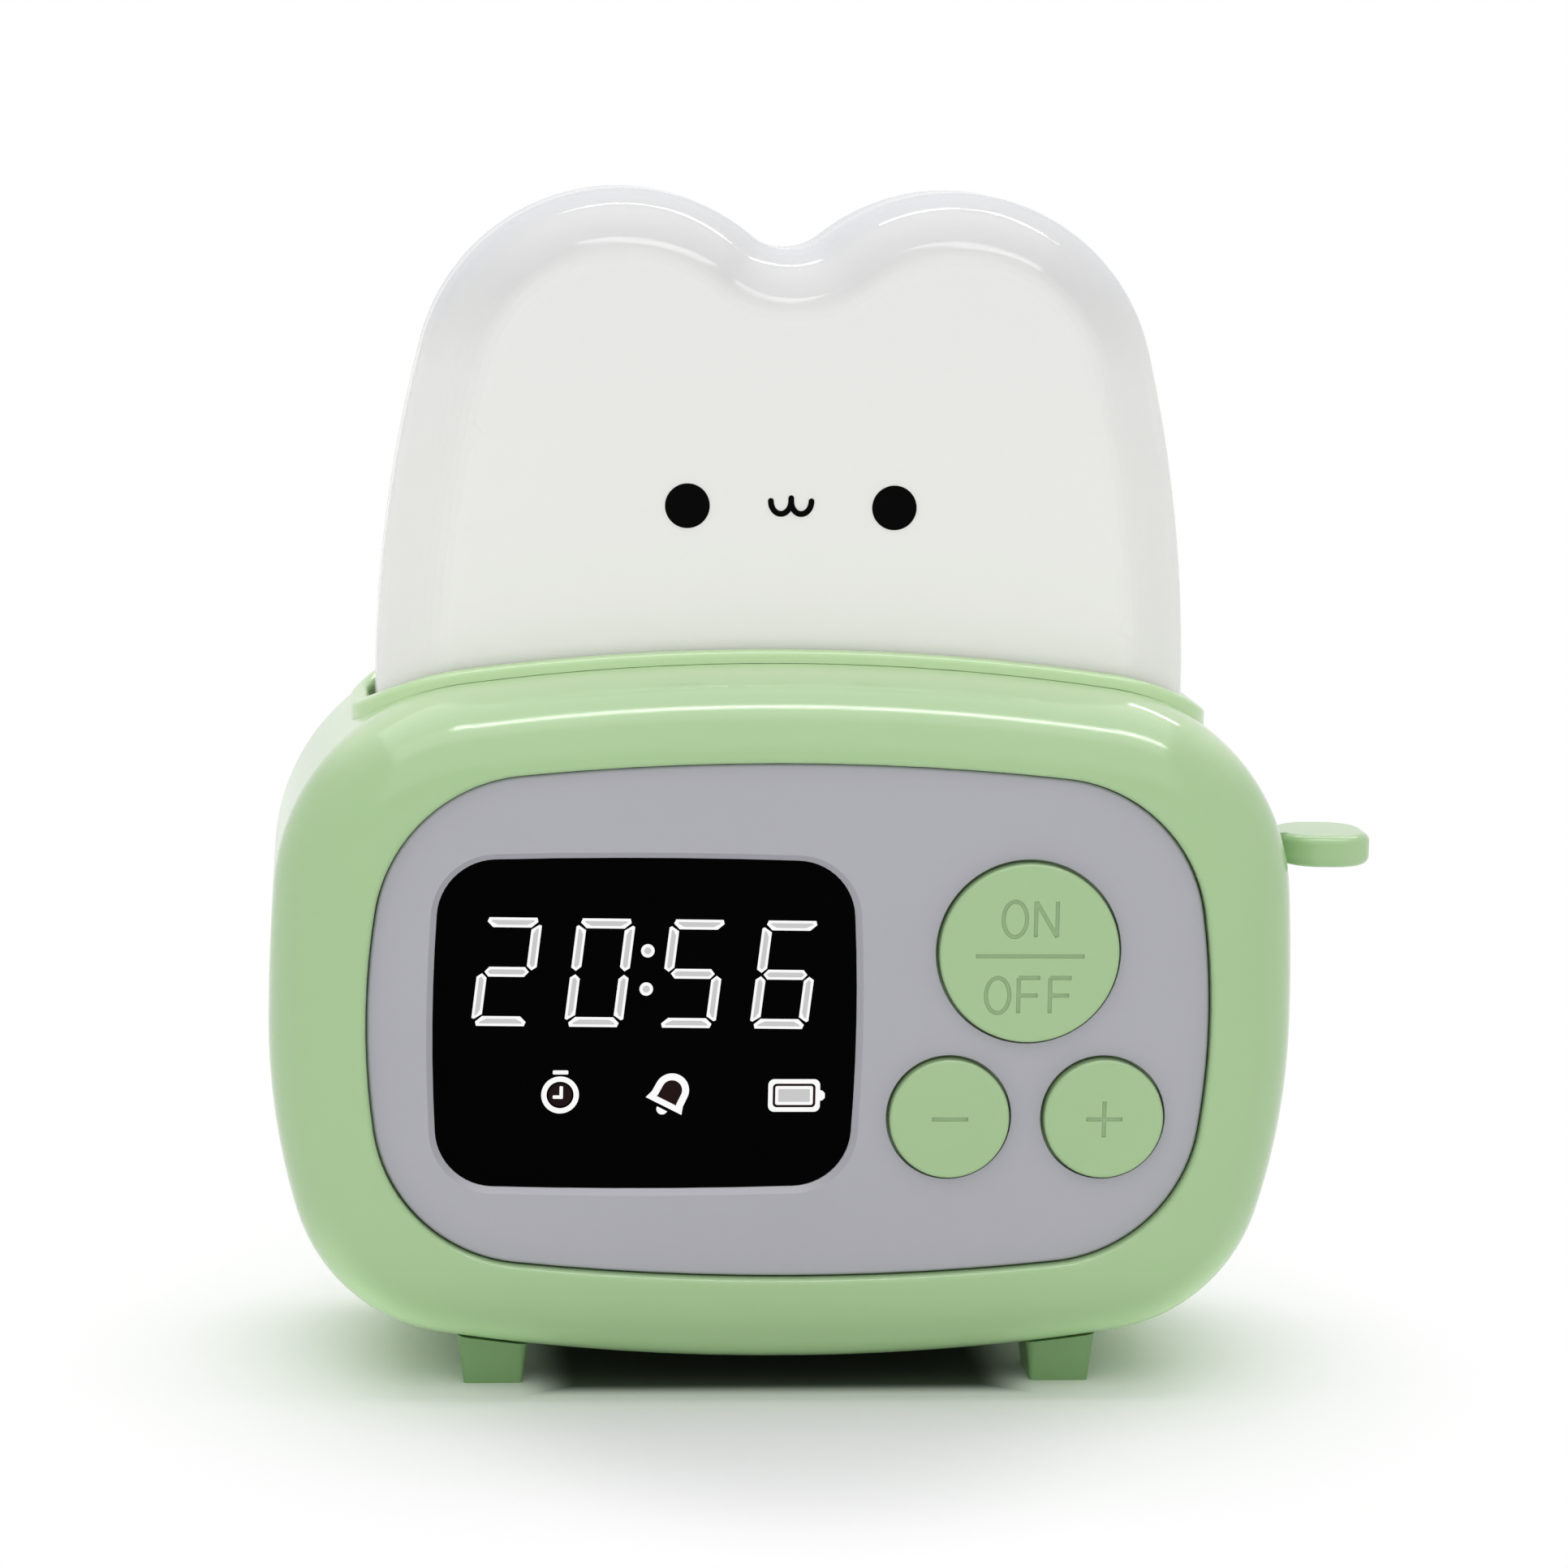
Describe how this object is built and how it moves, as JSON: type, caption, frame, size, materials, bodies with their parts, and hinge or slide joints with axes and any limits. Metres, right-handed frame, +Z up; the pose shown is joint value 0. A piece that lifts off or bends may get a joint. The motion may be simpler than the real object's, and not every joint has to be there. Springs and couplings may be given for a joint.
{
  "type": "kids alarm clock with night light",
  "caption": "Toaster-shaped digital alarm clock: rounded case with display and press buttons, a bread-slice night light standing in the top slot, and a side lever that slides down.",
  "frame": {"origin": "on the table under the middle of the clock's outer box, lever included, so the case's centre plane is 4.95 mm to the left of it", "axes": "+Z up, +Y from the front panel to the back, +X to the right as the user sees the clock"},
  "size_m": [0.1116, 0.045, 0.1181],
  "materials": {
    "green_plastic": "satin moulded plastic",
    "panel_plastic": "fine satin moulded plastic",
    "milky_plastic": "translucent milky plastic",
    "tinted_lens": "polished dark lens",
    "black_plastic": "matte",
    "circuit_board": "solder mask",
    "white_plastic": "matte",
    "led_package": "moulded package",
    "steel": "plated",
    "cell_foil": "laminated foil",
    "foam": "foam"
  },
  "bodies": {
    "clock": {"front_case": "green_plastic", "rear_case": "green_plastic", "slot_trim": "green_plastic", "front_panel": "panel_plastic", "display_window": "tinted_lens", "display_module": "black_plastic", "tact_switches": "black_plastic", "main_board": "circuit_board", "board_screws": "steel", "bread_diffuser": "milky_plastic", "lamp_tray": "white_plastic", "lamp_board": "circuit_board", "lamp_leds": "led_package", "lever_spring": "steel", "switch_board": "circuit_board", "lamp_switch": "black_plastic", "battery": "cell_foil", "battery_tape": "foam", "speaker": "black_plastic", "usb_socket": "steel", "charge_board": "circuit_board", "case_screws": "steel", "foot_front_left": "green_plastic", "foot_rear_left": "green_plastic", "foot_front_right": "green_plastic", "foot_rear_right": "green_plastic"},
    "start_stop": {"start_stop_button": "green_plastic", "start_stop_plunger": "black_plastic"},
    "minute": {"minute_button": "green_plastic", "minute_plunger": "black_plastic"},
    "second": {"second_button": "green_plastic", "second_plunger": "black_plastic"},
    "lever": {"light_lever": "green_plastic"}
  },
  "joints": [
    {"name": "start_stop_press", "type": "slide", "parent": "clock", "child": "start_stop", "axis": [0, 1, 0], "range_m": [0, 0.0005], "stiffness_N_per_m": 1200, "springref_m": -0.0005},
    {"name": "minute_press", "type": "slide", "parent": "clock", "child": "minute", "axis": [0, 1, 0], "range_m": [0, 0.0005], "stiffness_N_per_m": 1200, "springref_m": -0.0005},
    {"name": "second_press", "type": "slide", "parent": "clock", "child": "second", "axis": [0, 1, 0], "range_m": [0, 0.0005], "stiffness_N_per_m": 1200, "springref_m": -0.0005},
    {"name": "lever_slide", "type": "slide", "parent": "clock", "child": "lever", "axis": [0, 0, -1], "range_m": [0, 0.0075], "stiffness_N_per_m": 60, "springref_m": -0.005, "deforming": ["lever_spring"]}
  ]
}
